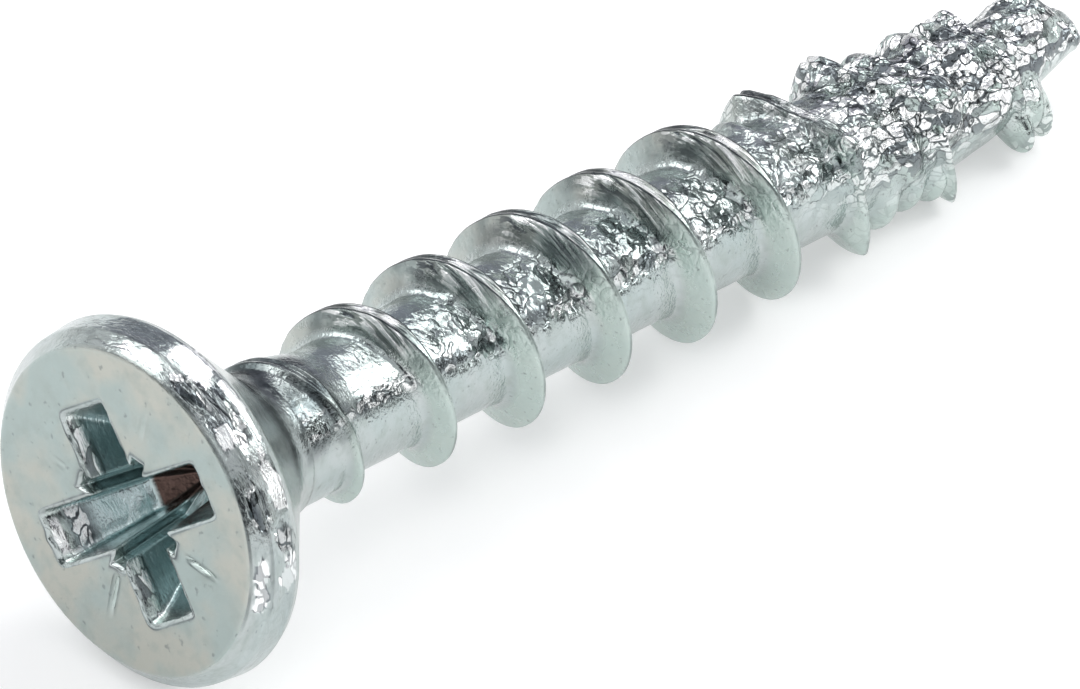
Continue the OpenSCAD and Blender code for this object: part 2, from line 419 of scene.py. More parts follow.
def outer_profile():
    """Radius and height down the outside of the head, with the marks of each ring."""
    for (r0, z0, n, *marks), (r1, z1, *_) in zip(OUTSIDE[:-1], OUTSIDE[1:]):
        for f in np.arange(n) / n:
            yield r0 + (r1 - r0) * f, z0 + (z1 - z0) * f, *marks
    for a in np.radians(np.linspace(45, 0, BLEND_RINGS, endpoint=False)):
        height = CONE_END + BLEND_BACK - BLEND_R * math.sin(a)
        yield NECK_R + BLEND_R * (1 - math.cos(a)), height, *BLEND_MARKS
    yield NECK_R, CONE_END + BLEND_BACK, *NECK_MARKS


def spots(points, angles, places):
    """1 on ragged spots at angles and heights, 0 away from them."""
    share = np.zeros(len(points))
    ragged = 0.35 * noise(points, 0.3, 61) + 0.25 * noise(points, 0.15, 62)
    for angle, height, half_angle, half_height in places:
        off = angle_off(angles, angle) / half_angle
        inside = 1.0 - np.hypot(off, (points[:, 2] - height) / half_height) + ragged
        share = np.maximum(share, smooth(0.0, 0.2, inside))
    return share


def outside_rings():
    """Rings down the bevel, the rim and the cone, dented and ripped on the side towards the light, with
    painted highlights, shade and shadow.
    """
    lit = smooth(10.0, 45.0, HEAD_ANGLES % 360.0) * smooth(165.0, 130.0, HEAD_ANGLES % 360.0)
    for r, z, crinkle, matte, dark in outer_profile():
        points = at_depth(polar(HEAD_ANGLES, r) + FACE_OFF * smooth(0.5, 0.0, z), z)
        # Painted highlights on the bright spots; the ripped spots are dented and also painted with shade
        bright = spots(points, HEAD_ANGLES, HIGHLIGHT_SPOTS)
        torn_and_painted_light = spots(points, HEAD_ANGLES, TORN_SHADE_SPOTS) * (1 - bright)
        torn_and_painted_light = crinkle * lifted(0.12, torn_and_painted_light) * lifted(0.4, lit)
        strength = torn_and_painted_light * smooth(0.0, 0.2, z) * (1 - smooth(1.2, 2.0, z))
        dent = 0.03 * crumple(points * (0.6, 0.6, 1.0), 0.36, 41) + 0.012 * noise(points, 0.16, 42) - 0.02
        points[:, :2] += polar(HEAD_ANGLES, np.minimum(dent, 0.0) * strength)
        on_rim = smooth(0.03, 0.1, z) * smooth(1.1, 1.0, z)
        # Painted shade in the dark rings and on the ripped spots, and the painted shadow under the head
        shade = np.maximum(dark * lit, torn_and_painted_light * on_rim)
        shade = np.maximum(shade, 1.05 * smooth(2.2, 3.0, z) * side_of(HEAD_ANGLES, *SHADOW_SIDE))
        solid = (1.6 - 0.4 * side_of(HEAD_ANGLES, *SOFT_HIGHLIGHT_SIDE)) * bright
        streaks = 0.35 * on_rim * side_of(HEAD_ANGLES, *STREAKED_SIDE)
        yield skin.add(points, crinkle=np.maximum(torn_and_painted_light, streaks), matte=matte, edge=shade * (1 - bright),
                       glint=on_rim * np.maximum(solid, 0.5 * torn_and_painted_light))


def build_head():
    """From the middle of the recess out over the face and down to the neck; returns the last ring."""
    middle = np.array([[RECESS_OFF[0], RECESS_OFF[1], RECESS_DEPTH]])
    centre = skin.add(middle, matte=0.5, teal=0.6)[0]
    facing = facing_camera(recess_outline(0.0))
    rings = [*floor_rings(), *wall_rings(facing), *lip_rings(facing), *face_rings(facing), *outside_rings()]
    skin.fan(rings[0][::-1], centre)
    for a, b in zip(rings[:-1], rings[1:]):
        skin.bridge(a, b)
    return rings[-1]


# Shank

# Columns round the shank, rows from one turn of the thread to the next, and turns that are laid out
SHANK_COLUMNS, ROWS, TURNS = 160, 40, 12
# How far before its crest a turn's rows begin, and how close and how widely they gather at the crest
STRIP_BACK, GATHER, GATHER_HALF = 0.45, 0.55, 0.38
# Heights at which the columns begin and end
RING_Z, END_Z = CONE_END + BLEND_BACK + 0.05, 25.2

# Blank: height, radius up in the photograph, radius down, radius towards the camera
BLANK = ((0.0, 1.46, 1.46, 1.46), (4.5, 1.46, 1.4, 1.46), (5.1, 1.3, 1.29, 1.3),
         (20.2, 1.3, 1.28, 1.3), (21.2, 1.25, 1.22, 1.22), (22.4, 1.12, 1.08, 1.1),
         (23.3, 1.1, 0.84, 0.95), (23.8, 1.18, 0.62, 0.86), (24.2, 1.2, 0.5, 0.76),
         (24.6, 1.1, 0.42, 0.62), (24.9, 0.95, 0.34, 0.5), (25.2, 0.72, 0.27, 0.34),
         (25.45, 0.4, 0.26, 0.2))
# Heights to either side over which the blank's corners are eased
BLANK_EASE = (-0.12, -0.04, 0.04, 0.12)

# Crest before the notches: turn of the helix, radius, and how far it sits off the helix
CREST = ((0.8, 1.4, 0), (1.0, 1.56, 0), (1.3, 1.6, 0), (1.52, 1.69, 0), (2.15, 1.8, 0.05),
         (2.51, 1.83, -0.04), (3.0, 1.9, 0.06), (3.5, 1.91, -0.05), (4.0, 1.94, 0.06),
         (4.5, 1.91, -0.04), (5.0, 1.91, 0.02), (5.5, 1.95, -0.05), (6.0, 1.95, -0.05),
         (6.5, 1.94, -0.07), (6.8, 1.92, 0.0))
# Turns of the helix where the thread begins, where its notches begin, and where it is on its helix again
FIRST_TURN, NOTCHED, LAST_TURN = 0.8, 6.8, 10.3
# Teeth: turn, how far the tooth sits off the helix, radius and half-width in turns
TEETH = ((7.0, 0.04, 1.9, 0.12), (7.25, 0.0, 1.8, 0.12), (7.48, -0.27, 1.95, 0.13),
         (7.75, -0.25, 1.72, 0.12), (8.0, -0.44, 1.88, 0.09), (8.25, -0.1, 1.66, 0.1),
         (8.5, 0.07, 1.8, 0.11), (8.75, 0.15, 1.55, 0.1), (9.0, 0.25, 1.58, 0.09),
         (9.25, 0.0, 1.42, 0.1), (9.5, 0.0, 1.2, 0.1), (9.75, 0.0, 1.25, 0.1))
# Hollowness of the teeth, and height that a notch leaves of the thread
TOOTH_HOLLOW, NOTCH_LEFT = 1.3, 0.17
# Low bumps between the teeth: height, angle, radius, half-length and half-angle
BUMPS = ((19.2, 180, 1.62, 0.4, 45), (20.0, 185, 1.54, 0.35, 45), (20.6, 178, 1.6, 0.35, 35),
         (20.4, 0, 1.56, 0.4, 45), (21.4, 5, 1.59, 0.5, 50), (20.8, 95, 1.5, 0.5, 40),
         (22.2, 110, 1.35, 0.5, 40), (22.0, 60, 1.4, 0.4, 40), (19.6, 120, 1.55, 0.4, 35),
         (16.75, 0, 1.52, 0.3, 40), (22.65, 5, 1.57, 0.25, 35), (23.02, 172, 1.6, 0.3, 30),
         (23.62, 174, 1.47, 0.34, 34), (23.3, 165, 1.3, 0.5, 45))
BUMP_SUNK = 0.1
# Slopes of the flanks towards the head and towards the point
FLANK_BACK, FLANK_FRONT = 2.3, 2.5
# Crest: half-width, how much wider it is on its blunt side, and radius of its edges
CREST_HALF, CREST_BLUNT, CREST_ROUND = 0.03, 0.1, 0.03
# Groove along the blunt crest: depth, half-width, distance from the crest's middle
GROOVE_DEPTH, GROOVE_HALF, GROOVE_OFF = 0.045, 0.075, 0.01
# Width over which the threads blend into the blank, and how far all is drawn in for it
ROOT_BLEND, ROOT_SUNK = 0.11, 0.014
# A relief that shows nowhere, and a distance from the crest that is past all others
NO_RELIEF, FAR = -1.0, 9.0

# Heights between which the plating turns rough towards the point, and clearance kept over the floor
ROUGH_FROM, ROUGH_FULL = 15.5, 20.0
FLOOR_GAP, LEAST_DOWN = 0.03, 0.05
# Sides of the shank where a mark shows: direction, full within, gone beyond. Most place painted light:
# the dark reflection in the valleys, the sheen, the shade on the flanks and the crest, the highlight
# bars, the shaded crest line, the strokes and the glints on the teeth
BLUNT_SIDE, GROOVE_SIDE, SHADED_OUTLINE_SIDE = (22.0, 36.0, 75.0), (28.0, 34.0, 62.0), (15.0, 65.0, 95.0)
LIT_SIDE, DARK_REFLECTION_BAND_SIDE, SHEEN_SIDE = (78.0, 22.0, 42.0), (98.0, 4.0, 11.0), (180.0, 90.0, 115.0)
FLANK_SHADE, FLANK_SHADE_TOP = (72.0, 12.0, 28.0), (22.0, 14.0, 32.0)
HIGHLIGHT_BAR_SIDE, BARE_TOP, STROKE_SIDE = (46.0, 12.0, 18.0), (0.0, 22.0, 30.0), (46.0, 20.0, 40.0)
CREST_SHADE_SIDE, NUB_GLINT_SIDE = (170.0, 80.0, 110.0), (140.0, 60.0, 80.0)


def blank_at(z):
    """Centre offset, and radii along X and Y, of the blank at heights."""
    table = np.array(BLANK)
    z = np.asarray(z, float)
    up, down, side = (sum(np.interp(z + s, table[:, 0], table[:, k]) for s in BLANK_EASE) / len(BLANK_EASE)
                      for k in (1, 2, 3))
    return (up - down) / 2, (up + down) / 2, side


def blank_radius(angle, z):
    """Radius of the blank in a direction."""
    centre, across, side = blank_at(z)
    c = np.cos(np.radians(angle))
    return centre * c + across * c * c + side * (1 - c * c)


def helix_z(turn):
    """Height of the main crest."""
    places = [(c[0], c[2]) for c in CREST] + [(t[0], t[1]) for t in TEETH] + [(LAST_TURN, 0.0)]
    return HELIX_START + PITCH * turn + np.interp(turn, *zip(*places))


def crest_height(turn):
    """Height of the main crest over the blank."""
    core = blank_radius(turn * 360.0, HELIX_START + PITCH * turn)
    plain = np.interp(turn, [c[0] for c in CREST], [c[1] for c in CREST])
    low = core + NOTCH_LEFT * (1 - smooth(9.4, 9.9, turn))
    notched = low.copy()
    for place, _, radius, half in TEETH:
        share = np.clip(1 - np.abs(turn - place) / half, 0, 1) ** TOOTH_HOLLOW
        notched = np.maximum(notched, low + (radius - low) * share)
    run_out = low + (plain - low) * smooth(NOTCHED + 0.1, NOTCHED - 0.02, turn)
    return np.where(turn < NOTCHED, plain, soft_max(notched, run_out, 0.01)) - core


def shank_relief(angle, z):
    """Height of the threads over the blank, share of a flank, distance to the crest and past its edge."""
    share = angle / 360.0
    base = np.floor((z - HELIX_START) / PITCH - share) + share
    relief, nearest = np.full(len(z), NO_RELIEF), np.full(len(z), FAR)
    blunt = CREST_HALF + CREST_BLUNT * side_of(angle, *BLUNT_SIDE)
    for turn in (base - 1, base, base + 1, base + 2):
        v = z - helix_z(turn)
        away = np.hypot(np.maximum(np.abs(v) - blunt, 0), CREST_ROUND) - CREST_ROUND
        height = crest_height(turn) - away * np.where(v < 0, FLANK_BACK, FLANK_FRONT)
        groove = smooth(GROOVE_HALF, 0.0, np.abs(v - GROOVE_OFF))
        height -= GROOVE_DEPTH * groove * side_of(angle, *GROOVE_SIDE)
        relief = np.maximum(relief, np.where(turn < FIRST_TURN, NO_RELIEF, height))
        nearest = np.where(np.abs(v) < np.abs(nearest), v, nearest)
    for at_z, at_angle, radius, half_z, half_angle in BUMPS:
        share = 1 - (angle_off(angle, at_angle) / half_angle) ** 2 - ((z - at_z) / half_z) ** 2
        bump = (radius - blank_radius(angle, z) + BUMP_SUNK) * share - BUMP_SUNK
        relief = np.maximum(relief, np.where(share > 0, bump, NO_RELIEF))
    on_flank = smooth(0.03, 0.2, relief)
    return soft_max(relief, 0.0, ROOT_BLEND) - ROOT_SUNK, on_flank, nearest, np.abs(nearest) - blunt


def keep_off_floor(points, a):
    """Draws points in towards the axis where they would reach the floor."""
    tilt = math.radians(LIE_TILT)
    axis_height = LIE_HEIGHT - math.sin(tilt) * points[:, 2]
    down = np.cos(a + math.radians(LIE_TURN)) * math.cos(tilt)
    reach = np.hypot(points[:, 0], points[:, 1])
    limit = (axis_height - FLOOR_GAP) / np.maximum(down, LEAST_DOWN)
    kept = np.where(down > LEAST_DOWN, soft_min(reach, limit, 0.03), reach)
    points[:, :2] *= (kept / reach)[:, None]


def crest_marks(points, angle, z, on_flank, nearest, rough):
    """Painted shaded line, painted highlight bars, and ripped strokes painted dark and bright, of the crests
    on the plain turns.
    """
    turns = smooth(4.6, 5.0, z) * smooth(18.5, 17.5, z)
    highlight_bar = side_of(angle, *HIGHLIGHT_BAR_SIDE) * smooth(-0.2, 0.0, noise(points, 0.5, 64)) * turns
    highlight_bar -= side_of(angle, *BARE_TOP) * turns
    stroke = on_flank * (1 - rough) * turns * side_of(angle, *STROKE_SIDE)
    stroke *= smooth(0.42, 0.2, np.abs(nearest))
    return dict(shaded_outline=side_of(angle, *SHADED_OUTLINE_SIDE) * turns, highlight_bar=highlight_bar, stroke=stroke)


def plating_marks(angle, z, relief, on_flank, nearest, rough, upper):
    """Marks of the plating: crumpled in the valleys and towards the point, plain on the flanks, with painted
    shade, sheen and glints by side.
    """
    valley = 1.0 - on_flank
    crinkle = lifted(0.25, np.maximum(side_of(angle, *LIT_SIDE), rough))
    crinkle *= lifted(0.35, np.maximum(valley, rough)) * upper
    crinkle *= lifted(0.25, smooth(6.3, 8.6, z)) + 0.1 * rough
    # A narrow stretch of the valleys is painted dark as a painted reflection, with flakes in it as painted
    # glints
    dark_reflection_band = valley * side_of(angle, *DARK_REFLECTION_BAND_SIDE) * (1 - rough)
    # Painted shade on the flanks towards the head
    shaded = on_flank * (1 - rough) * smooth(-0.06, -0.14, nearest)
    shaded *= np.maximum(1.3 * side_of(angle, *FLANK_SHADE), 0.9 * side_of(angle, *FLANK_SHADE_TOP))
    # Painted shade along the crest's lower side
    edge = smooth(0.05, 0.0, np.abs(nearest)) * side_of(angle, *CREST_SHADE_SIDE)
    edge = np.maximum(edge, np.maximum(1.05 * dark_reflection_band, shaded))
    edge = np.clip(edge, 0, 1) * smooth(4.3, 4.6, z)
    # Painted shadow under the head, on the neck
    edge = np.maximum(edge, 1.5 * smooth(4.9, 4.5, z) * side_of(angle, *SHADOW_SIDE))
    # Painted glints on the ends of the teeth
    nub_glint = smooth(19.0, 19.5, z) * smooth(0.4, 0.48, relief) * side_of(angle, *NUB_GLINT_SIDE)
    return dict(crinkle=crinkle, matte=np.clip(0.6 * on_flank * (1 - rough), 0, 1), edge=0.62 * edge,
                # The flanks of the lower side are painted pale as a painted sheen of the floor; the rough
                # point is pale too
                pale=np.maximum(on_flank * side_of(angle, *SHEEN_SIDE), 0.35 * rough),
                # Painted glints: flakes on the point's upper side, in the dark reflection and on the teeth's
                # ends
                glint=np.maximum(np.maximum(rough * upper, 0.6 * dark_reflection_band), 0.45 * nub_glint))


def shank_points(angle, z):
    """Points of the shank, with the marks of the surface."""
    angle, z = np.asarray(angle, float), np.asarray(z, float)
    relief, on_flank, nearest, brink = shank_relief(angle, z)
    centre, across, side = blank_at(z)
    a = np.radians(angle)
    out = np.stack([np.cos(a), np.sin(a), np.zeros(len(z))], axis=-1)
    points = np.stack([centre + (across + relief) * np.cos(a), (side + relief) * np.sin(a), z], axis=-1)
    rough, valley = smooth(ROUGH_FROM, ROUGH_FULL, z), 1.0 - on_flank
    upper = lifted(0.12, side_of(angle, 35.0, 66.0 + 14.0 * rough, 96.0 + 25.0 * rough))
    amount = 0.008 + 0.014 * valley * (1 - rough) * smooth(6.5, 9.0, z) + 0.075 * rough * lifted(0.5, valley)
    bumps = crumple(points, 0.8, 51) + 0.6 * crumple(points, 0.42, 57) + 0.3 * noise(points, 0.9, 70)
    points += out * (amount * upper * bumps)[:, None]
    keep_off_floor(points, a)
    return points, dict(plating_marks(angle, z, relief, on_flank, nearest, rough, upper), brink=brink,
                        **crest_marks(points, angle, z, on_flank, nearest, rough))


def add_shank(angle, z):
    points, marks = shank_points(angle, z)
    return skin.add(points, **marks)


def strip_offsets():
    """Heights of a column's rows over its crest: close together near the crest."""
    even = -STRIP_BACK + PITCH * (np.arange(ROWS) / ROWS)
    wide = 1.0 - GATHER * np.exp(-((even / GATHER_HALF) ** 2))
    steps = np.concatenate([[0.0], np.cumsum(wide)])
    return -STRIP_BACK + PITCH * steps[:-1] / steps[-1]


def build_shank(head_ring):
    """Upright columns whose rows follow the helix, cut level at both ends."""
    column_angle = np.arange(SHANK_COLUMNS) * 360.0 / SHANK_COLUMNS
    row = np.arange(TURNS * ROWS)
    turn = column_angle[:, None] / 360.0 + row // ROWS
    v = strip_offsets()[row % ROWS]
    over = smooth(0.3, PITCH - STRIP_BACK, v)
    z = HELIX_START + PITCH * turn + v
    z += (1 - over) * (helix_z(turn) - HELIX_START - PITCH * turn)
    z += over * (helix_z(turn + 1) - HELIX_START - PITCH * (turn + 1))
    used = (z > RING_Z + 0.03) & (z < END_Z - 0.03)
    number = np.full(z.shape, -1)
    column_of, row_of = np.nonzero(used)
    number[column_of, row_of] = add_shank(column_angle[column_of], z[column_of, row_of])
    bottom = add_shank(column_angle, np.full(SHANK_COLUMNS, RING_Z))
    top = add_shank(column_angle, np.full(SHANK_COLUMNS, END_Z))
    for c in range(SHANK_COLUMNS):
        n = (c + 1) % SHANK_COLUMNS
        shift = 0 if n else -ROWS
        join_columns(number[c], number[n], shift, (bottom[c], bottom[n]), (top[c], top[n]))
    skin.zip_rings(head_ring, bottom, HEAD_ANGLES - RECESS_TURN, column_angle)
    return top, column_angle


def join_columns(here, there, shift, low, high):
    """Faces between a column and the next one, whose row r lies at r + shift of its own count."""
    rows = np.nonzero(here >= 0)[0]
    other = np.nonzero(there >= 0)[0]
    a0, a1 = rows[0], rows[-1]
    b0, b1 = other[0] + shift, other[-1] + shift

    def next_to(r):
        return int(there[r - shift])

    skin.faces.append((int(low[0]), int(low[1]), next_to(b0)))
    for r in range(b0, a0):
        skin.faces.append((int(low[0]), next_to(r), next_to(r + 1)))
    for r in range(a0, b0):
        skin.faces.append((int(here[r]), next_to(b0), int(here[r + 1])))
    skin.faces.append((int(low[0]), next_to(max(a0, b0)), int(here[a0])))
    for r in range(max(a0, b0), min(a1, b1)):
        skin.faces.append((int(here[r]), next_to(r), next_to(r + 1), int(here[r + 1])))
    last = min(a1, b1)
    for r in range(last, a1):
        skin.faces.append((int(here[r]), next_to(last), int(here[r + 1])))
    for r in range(last, b1):
        skin.faces.append((int(here[a1]), next_to(r), next_to(r + 1)))
    skin.faces.append((int(here[a1]), next_to(b1), int(high[1]), int(high[0])))


TIP, TIP_RINGS = np.array([0.04, 0.0, SCREW_L - 0.1]), (0.25, 0.5, 0.72, 0.9)


def build_tip(ring, column_angle):
    """The rounded point."""
    start = shank_points(column_angle, np.full(SHANK_COLUMNS, END_Z))[0]
    rings = [ring]
    for f in TIP_RINGS:
        share = math.sqrt(1 - f * f)
        points = start * share + TIP * (1 - share)
        points[:, 2] = END_Z + (TIP[2] - END_Z) * f
        rings.append(skin.add(points, crinkle=1.0, glint=0.8))
    end = skin.add(TIP[None, :], crinkle=1.0, glint=0.8)[0]
    for a, b in zip(rings[:-1], rings[1:]):
        skin.bridge(a, b)
    skin.fan(rings[-1], end)


# Shader nodes

def node(tree, kind, inputs=None, **settings):
    """A new node, with settings, and with inputs that are linked or set."""
    made = tree.nodes.new(kind)
    for key, value in settings.items():
        setattr(made, key, value)
    for key, value in (inputs or {}).items():
        put(tree, made.inputs[key], value)
    return made


def put(tree, socket, value):
    """Links a socket to another one, or sets its value."""
    if isinstance(value, bpy.types.NodeSocket):
        tree.links.new(value, socket)
    else:
        socket.default_value = value


def maths(tree, operation, *values):
    return node(tree, "ShaderNodeMath", dict(enumerate(values)), operation=operation).outputs[0]


def times(tree, a, b):
    return maths(tree, "MULTIPLY", a, b)


def vector_maths(tree, operation, a, b):
    made = node(tree, "ShaderNodeVectorMath", {0: a, 1: b}, operation=operation)
    return made.outputs["Value" if operation == "DOT_PRODUCT" else "Vector"]


def span(tree, value, low, high, to_low, to_high, **settings):
    """A value mapped from one range to another, and kept inside it."""
    made = node(tree, "ShaderNodeMapRange", {"Value": value, "From Min": low, "From Max": high,
                                             "To Min": to_low, "To Max": to_high}, **settings)
    return made.outputs[0]


def attribute(tree, name):
    return node(tree, "ShaderNodeAttribute", attribute_name=name, attribute_type="GEOMETRY").outputs


def mix_colour(tree, share, a, b):
    made = node(tree, "ShaderNodeMix", data_type="RGBA")
    for name, value in (("Factor_Float", share), ("A_Color", a), ("B_Color", b)):
        socket = next(s for s in made.inputs if s.identifier == name)
        put(tree, socket, (*value, 1.0) if isinstance(value, tuple) else value)
    return next(s for s in made.outputs if s.identifier == "Result_Color")


def cloud(tree, where, scale, detail=3.0):
    made = node(tree, "ShaderNodeTexNoise", {"Vector": where, "Scale": scale, "Detail": detail})
    return made.outputs["Fac"]


def cloudy(tree, where, scale, detail, *limits):
    """A cloud's value mapped from one range to another."""
    return span(tree, cloud(tree, where, scale, detail), *limits)


def cells(tree, where, scale, **settings):
    return node(tree, "ShaderNodeTexVoronoi", {"Vector": where, "Scale": scale}, **settings).outputs


# Material

# Colours of the plate: two cool tints, and two matt ones for the face and the flanks
TINTS = ((0.42, 0.485, 0.48), (0.47, 0.51, 0.505))
MATT_TINTS = ((0.465, 0.475, 0.43), (0.39, 0.46, 0.445))
# What lies over them: specks, tarnish, pale parts and painted sheen, greenish parts, pits, painted
# shade, painted shade in creases, dull flakes, bright flakes, strokes and bars that are painted
# highlights, rims of flakes, solid painted highlights, dark strokes, painted shade lines, brown stain
SPECK, TARNISH, PALE, TEAL = (0.33, 0.38, 0.36), (0.36, 0.41, 0.39), (0.52, 0.61, 0.575), (0.55, 0.67, 0.68)
PIT, PAINTED_SHADE, CREASE_SHADE, DULL = (0.2, 0.22, 0.22), (0.06, 0.075, 0.08), (0.05, 0.055, 0.065), (0.13, 0.145, 0.16)
BRIGHT, FLAKE_RIM, SOLID_HIGHLIGHT = (0.93, 0.94, 0.94), (0.06, 0.065, 0.075), (0.84, 0.86, 0.86)
STROKE, SHADE_LINE, STAIN = (0.06, 0.07, 0.08), (0.05, 0.06, 0.065), (0.085, 0.056, 0.048)
# How the grain is drawn out along the screw for the creases, and further for the flakes
CREASE_DRAW, FLAKE_DRAW = (1.0, 1.0, 0.62), (1.3, 1.3, 0.65)
# Noise of the strokes: how often it changes across the crest and along it
STROKES_ACROSS, STROKES_ALONG = 20.0, 2.6
# Slopes and heights of the bumps: large and small facets, pillows between creases, strokes, fine grain
BIG_FACETS, SMALL_FACETS, PILLOW, STROKE_BUMP, GRAIN_BUMP = 0.65, 0.25, 0.022, 0.09, 0.012


def facets(tree, where, scale):
    """Height of flat tilted facets, as on crumpled foil."""
    cell = cells(tree, where, scale)
    away = vector_maths(tree, "SUBTRACT", where, cell["Position"])
    tilt = vector_maths(tree, "SUBTRACT", cell["Color"], (0.5, 0.5, 0.5))
    return vector_maths(tree, "DOT_PRODUCT", away, tilt)


def creases(tree, where, scale):
    """How far from winding creases a point is: 0 in a crease, near 1 between them."""
    wave = cloud(tree, where, scale, 1.0)
    return maths(tree, "MINIMUM", maths(tree, "ABSOLUTE", maths(tree, "MULTIPLY_ADD", wave, 7.0, -3.5)), 1.0)


def flakes(tree, where, scale):
    """Ripped plating with painted glints: how clear its dull flakes, its bright ones, which are painted
    glints, and the thin rims of these are.
    """
    kind = node(tree, "ShaderNodeSeparateXYZ", {0: cells(tree, where, scale)["Color"]}).outputs["X"]
    bright = span(tree, kind, 0.42, 0.47, 0.0, 1.0)
    inside = cells(tree, where, scale, feature="DISTANCE_TO_EDGE")["Distance"]
    flat = times(tree, bright, span(tree, inside, 0.05, 0.1, 0.0, 1.0))
    rim = times(tree, bright, span(tree, inside, 0.04, 0.09, 0.9, 0.0))
    return span(tree, kind, 0.17, 0.2, 0.9, 0.0), flat, rim


def worn_layers(tree, where, marks):
    """Shares and colours of specks, tarnish and pits, and of the pale parts, partly painted sheen, the
    greenish parts and the painted shade.
    """
    return ((cloudy(tree, where, 5.0, 5.0, 0.5, 0.7, 0.0, 0.5), SPECK),
            (cloudy(tree, where, 2.2, 5.0, 0.48, 0.68, 0.0, 0.4), TARNISH),
            # Pale: worn walls, a painted sheen on the lower flanks and painted highlights in the tick
            # grooves
            (times(tree, marks["pale"], 0.8), PALE),
            (times(tree, marks["teal"], 0.8), TEAL),
            (cloudy(tree, where, 9.0, 2.0, 0.66, 0.74, 0.0, 0.6), PIT),
            # The edge mark is painted shade: dark lines along edges, creases and the lip, dark reflections
            # and the shadow under the head
            (times(tree, marks["edge"], cloudy(tree, where, 1.7, 3.0, 0.4, 0.6, 0.3, 1.0)), PAINTED_SHADE))


def flake_and_highlight_layers(tree, drawn, fold, marks):
    """Shares and colours of the painted shade in the creases, of the flakes of ripped plating, whose bright
    ones are painted glints, and of the solid painted highlights.
    """
    # Dark lines in the creases of the crumpled plating are painted shade
    crease = times(tree, span(tree, fold, 0.0, 0.3, 0.8, 0.0), maths(tree, "MINIMUM", marks["crinkle"], 1.0))
    crease = times(tree, crease, span(tree, marks["glint"], 0.0, 1.0, 1.0, 0.4))
    torn_and_painted_light = maths(tree, "MINIMUM", marks["glint"], 1.0)
    shown = flakes(tree, vector_maths(tree, "MULTIPLY", drawn, FLAKE_DRAW), 4.2)
    return ((crease, CREASE_SHADE),
            *((times(tree, share, torn_and_painted_light), colour) for share, colour in zip(shown, (DULL, BRIGHT, FLAKE_RIM))),
            (span(tree, marks["glint"], 1.0, 1.5, 0.0, 1.0), SOLID_HIGHLIGHT))


def crest_layers(tree, strokes, marks):
    """Shares and colours of the strokes beside the crests, painted dark and bright, and of the crests'
    painted highlight bars with painted shade lines, and their painted dark line along the top.
    """
    brink, highlight_bar, stroke = marks["brink"], marks["highlight_bar"], marks["stroke"]
    painted_highlight_bar = times(tree, highlight_bar, span(tree, brink, -0.045, -0.03, 1.0, 0.0))
    painted_shade_bar = times(tree, highlight_bar, span(tree, brink, -0.02, 0.0, -0.85, 0.0))
    off = maths(tree, "ABSOLUTE", maths(tree, "ADD", brink, 0.004))
    return ((times(tree, stroke, span(tree, strokes, 0.41, 0.45, 0.85, 0.0)), STROKE),
            (times(tree, stroke, span(tree, strokes, 0.54, 0.58, 0.0, 0.9)), BRIGHT),
            (maths(tree, "MAXIMUM", painted_highlight_bar, 0.0), BRIGHT),
            (maths(tree, "MAXIMUM", painted_shade_bar, 0.0), SHADE_LINE),
            (times(tree, marks["shaded_outline"], span(tree, off, 0.012, 0.024, 1.0, 0.0)), SHADE_LINE))


def zinc_height(tree, where, bent, fold, strokes, marks):
    """Height of the crumpled plating, of the strokes beside the crests and of the fine grain."""
    big = times(tree, facets(tree, bent, 2.6), BIG_FACETS)
    small = times(tree, facets(tree, bent, 7.0), SMALL_FACETS)
    height = times(tree, maths(tree, "ADD", big, small), marks["crinkle"])
    height = maths(tree, "ADD", height, times(tree, maths(tree, "POWER", fold, 0.5), PILLOW))
    height = times(tree, height, marks["crinkle"])
    height = maths(tree, "ADD", height, times(tree, cloud(tree, where, 14.0, 3.0), GRAIN_BUMP))
    return maths(tree, "ADD", height, times(tree, times(tree, strokes, marks["stroke"]), STROKE_BUMP))


def zinc_material():
    """Bright zinc plate: plain on the flats, crumpled where the marks say so, tarnished here and there, with
    painted shade, sheen and highlights where the marks say so.
    """
    material = bpy.data.materials.new("zinc_steel")
    material.use_nodes = True
    tree = material.node_tree
    shader = tree.nodes["Principled BSDF"]
    where = attribute(tree, "grain")["Vector"]
    marks = {name: attribute(tree, name)["Fac"] for name in Skin.MARKS}

    sway = node(tree, "ShaderNodeTexNoise", {"Vector": where, "Scale": 2.2}).outputs["Color"]
    bent = vector_maths(tree, "ADD", where, vector_maths(tree, "MULTIPLY", sway, (0.4,) * 3))
    drawn = vector_maths(tree, "MULTIPLY", bent, CREASE_DRAW)
    fold = creases(tree, drawn, 3.4)
    across = times(tree, marks["brink"], STROKES_ACROSS)
    across = node(tree, "ShaderNodeCombineXYZ", {"X": across}).outputs[0]
    along = vector_maths(tree, "MULTIPLY", where, (STROKES_ALONG,) * 3)
    strokes = cloud(tree, vector_maths(tree, "ADD", across, along), 1.0, 2.5)

    tint = mix_colour(tree, cloudy(tree, where, 0.7, 3.0, 0.35, 0.65, 0.0, 1.0), *TINTS)
    matt = mix_colour(tree, cloudy(tree, where, 1.1, 4.0, 0.42, 0.58, 0.0, 1.0), *MATT_TINTS)
    layers = ((marks["matte"], matt), *worn_layers(tree, where, marks),
              *flake_and_highlight_layers(tree, drawn, fold, marks), *crest_layers(tree, strokes, marks),
              (marks["stain"], STAIN))
    for share, colour in layers:
        tint = mix_colour(tree, share, tint, colour)
    put(tree, shader.inputs["Base Color"], tint)
    shader.inputs["Metallic"].default_value = 1.0

    rough = cloudy(tree, where, 3.0, 4.0, 0.3, 0.7, 0.11, 0.19)
    put(tree, shader.inputs["Roughness"], maths(tree, "ADD", rough, times(tree, marks["matte"], 0.24)))
    height = zinc_height(tree, where, bent, fold, strokes, marks)
    bump = node(tree, "ShaderNodeBump", {"Height": height, "Strength": 1.0, "Distance": MM})
    put(tree, shader.inputs["Normal"], bump.outputs[0])
    return material


# Screw

